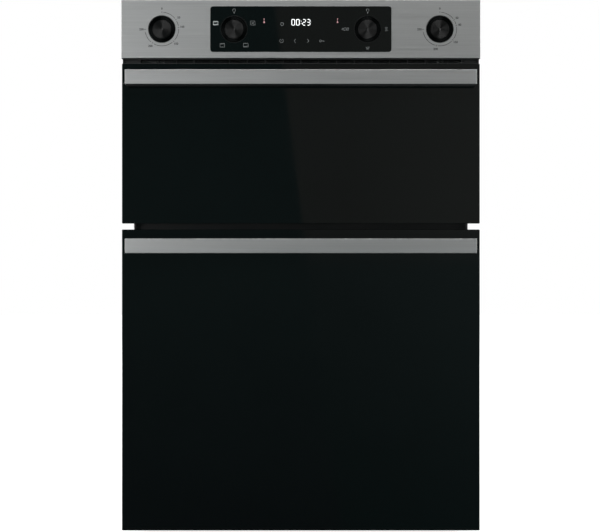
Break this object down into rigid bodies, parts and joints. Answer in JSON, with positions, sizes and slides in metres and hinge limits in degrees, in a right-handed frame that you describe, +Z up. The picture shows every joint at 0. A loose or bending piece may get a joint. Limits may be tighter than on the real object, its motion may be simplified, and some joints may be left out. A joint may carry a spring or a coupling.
{
  "type": "double wall oven",
  "caption": "Built-in double oven: a small upper and a large lower cavity behind drop-down glass doors with full-width strip handles, under a steel control panel with push-in knobs and a clock.",
  "frame": {"origin": "on the floor plane under the base runners, midway across the width and the overall depth", "axes": "+X to the right seen from the front, +Y towards the back, +Z up; the doors and knobs face -Y"},
  "size_m": [0.594, 0.592, 0.888],
  "materials": {
    "galvanised_sheet": "galvanised, satin",
    "runner_plastic": "matte moulded",
    "black_coated_steel": "satin black coating",
    "brushed_front": "horizontally brushed stainless",
    "black_glass": "black-printed toughened glass, polished",
    "clear_glass": "clear heat-reflecting glass",
    "lamp_glass": "moulded clear glass",
    "enamel": "speckled black vitreous enamel, glossy",
    "glass_wool": "fibrous mat",
    "gasket": "braided glass fibre over rubber",
    "heater_tube": "heat-darkened steel tube",
    "chromed_wire": "bright chromed wire",
    "fan_steel": "pressed steel",
    "aluminised_sheet": "aluminised, dull",
    "motor_metal": "laminated iron and zinc-plated steel",
    "black_plastic": "matte moulded",
    "light_plastic": "matte moulded heat-resistant resin",
    "knob_black": "spun black face, satin skirt",
    "hinge_steel": "zinc-plated, dull",
    "ceramic": "glazed ceramic"
  },
  "bodies": {
    "carcass": {"air_duct": "aluminised_sheet", "base_panel": "galvanised_sheet", "base_runners": "runner_plastic", "case_screws": "hinge_steel", "control_fascia": "brushed_front", "control_support": "galvanised_sheet", "convection_motor": "motor_metal", "cooling_fan_housing": "aluminised_sheet", "cooling_fan_motor": "motor_metal", "deck_plate": "galvanised_sheet", "display_glass": "black_glass", "display_module": "black_plastic", "door_gaskets": "gasket", "fan_baffle": "enamel", "floor_elements": "heater_tube", "front_frame": "black_coated_steel", "grill_element": "heater_tube", "grill_pan": "enamel", "hinge_arms": "hinge_steel", "insulation": "glass_wool", "knob_bezels": "black_plastic", "lamp_holders": "ceramic", "lamp_lenses": "lamp_glass", "lower_cavity": "enamel", "mounting_brackets": "black_coated_steel", "rear_cover": "galvanised_sheet", "rear_panel": "galvanised_sheet", "ring_element": "heater_tube", "selector_switches": "light_plastic", "shelf_supports": "chromed_wire", "side_panels": "galvanised_sheet", "terminal_block": "light_plastic", "terminal_box": "black_plastic", "thermostats": "motor_metal", "top_panel": "galvanised_sheet", "upper_cavity": "enamel", "vent_grille": "black_plastic", "wire_shelves": "chromed_wire"},
    "upper_door": {"upper_outer_glass": "black_glass", "upper_handle": "brushed_front", "upper_door_frame": "black_coated_steel", "upper_middle_glass": "clear_glass", "upper_inner_glass": "clear_glass", "upper_hinge_channels": "hinge_steel"},
    "lower_door": {"lower_outer_glass": "black_glass", "lower_handle": "brushed_front", "lower_door_frame": "black_coated_steel", "lower_middle_glass": "clear_glass", "lower_inner_glass": "clear_glass", "lower_hinge_channels": "hinge_steel"},
    "convection_fan": {"convection_fan": "fan_steel"},
    "cooling_fan_rotor": {"cooling_fan_rotor": "black_plastic"},
    "carriage_far_left": {"knob_carriage_far_left": "light_plastic"},
    "knob_far_left": {"knob_far_left": "knob_black"},
    "carriage_near_left": {"knob_carriage_near_left": "light_plastic"},
    "knob_near_left": {"knob_near_left": "knob_black"},
    "carriage_near_right": {"knob_carriage_near_right": "light_plastic"},
    "knob_near_right": {"knob_near_right": "knob_black"},
    "carriage_far_right": {"knob_carriage_far_right": "light_plastic"},
    "knob_far_right": {"knob_far_right": "knob_black"}
  },
  "joints": [
    {"name": "upper_door_hinge", "type": "hinge", "parent": "carcass", "child": "upper_door", "pos_m": [0, -0.2615, 0.5275], "axis": [1, 0, 0], "range_deg": [0, 90], "stiffness_Nm_per_rad": 0.8, "springref_deg": -80.21},
    {"name": "lower_door_hinge", "type": "hinge", "parent": "carcass", "child": "lower_door", "pos_m": [0, -0.2615, 0.0195], "axis": [1, 0, 0], "range_deg": [0, 90], "stiffness_Nm_per_rad": 2, "springref_deg": -80.21},
    {"name": "convection_fan_spin", "type": "hinge", "parent": "carcass", "child": "convection_fan", "pos_m": [0, 0.18, 0.2415], "axis": [0, 1, 0], "continuous": true},
    {"name": "cooling_fan_spin", "type": "hinge", "parent": "carcass", "child": "cooling_fan_rotor", "pos_m": [0, 0.15, 0.81], "axis": [0, 0, 1], "continuous": true},
    {"name": "far_left_push", "type": "slide", "parent": "carcass", "child": "carriage_far_left", "axis": [0, -1, 0], "range_m": [0, 0.014]},
    {"name": "far_left_turn", "type": "hinge", "parent": "carriage_far_left", "child": "knob_far_left", "pos_m": [-0.23, -0.262, 0.83975], "axis": [0, 1, 0], "range_deg": [0, 270]},
    {"name": "near_left_push", "type": "slide", "parent": "carcass", "child": "carriage_near_left", "axis": [0, -1, 0], "range_m": [0, 0.014]},
    {"name": "near_left_turn", "type": "hinge", "parent": "carriage_near_left", "child": "knob_near_left", "pos_m": [-0.1105, -0.262, 0.83975], "axis": [0, 1, 0], "continuous": true},
    {"name": "near_right_push", "type": "slide", "parent": "carcass", "child": "carriage_near_right", "axis": [0, -1, 0], "range_m": [0, 0.014]},
    {"name": "near_right_turn", "type": "hinge", "parent": "carriage_near_right", "child": "knob_near_right", "pos_m": [0.1105, -0.262, 0.83975], "axis": [0, 1, 0], "continuous": true},
    {"name": "far_right_push", "type": "slide", "parent": "carcass", "child": "carriage_far_right", "axis": [0, -1, 0], "range_m": [0, 0.014]},
    {"name": "far_right_turn", "type": "hinge", "parent": "carriage_far_right", "child": "knob_far_right", "pos_m": [0.23, -0.262, 0.83975], "axis": [0, 1, 0], "range_deg": [0, 270]}
  ]
}
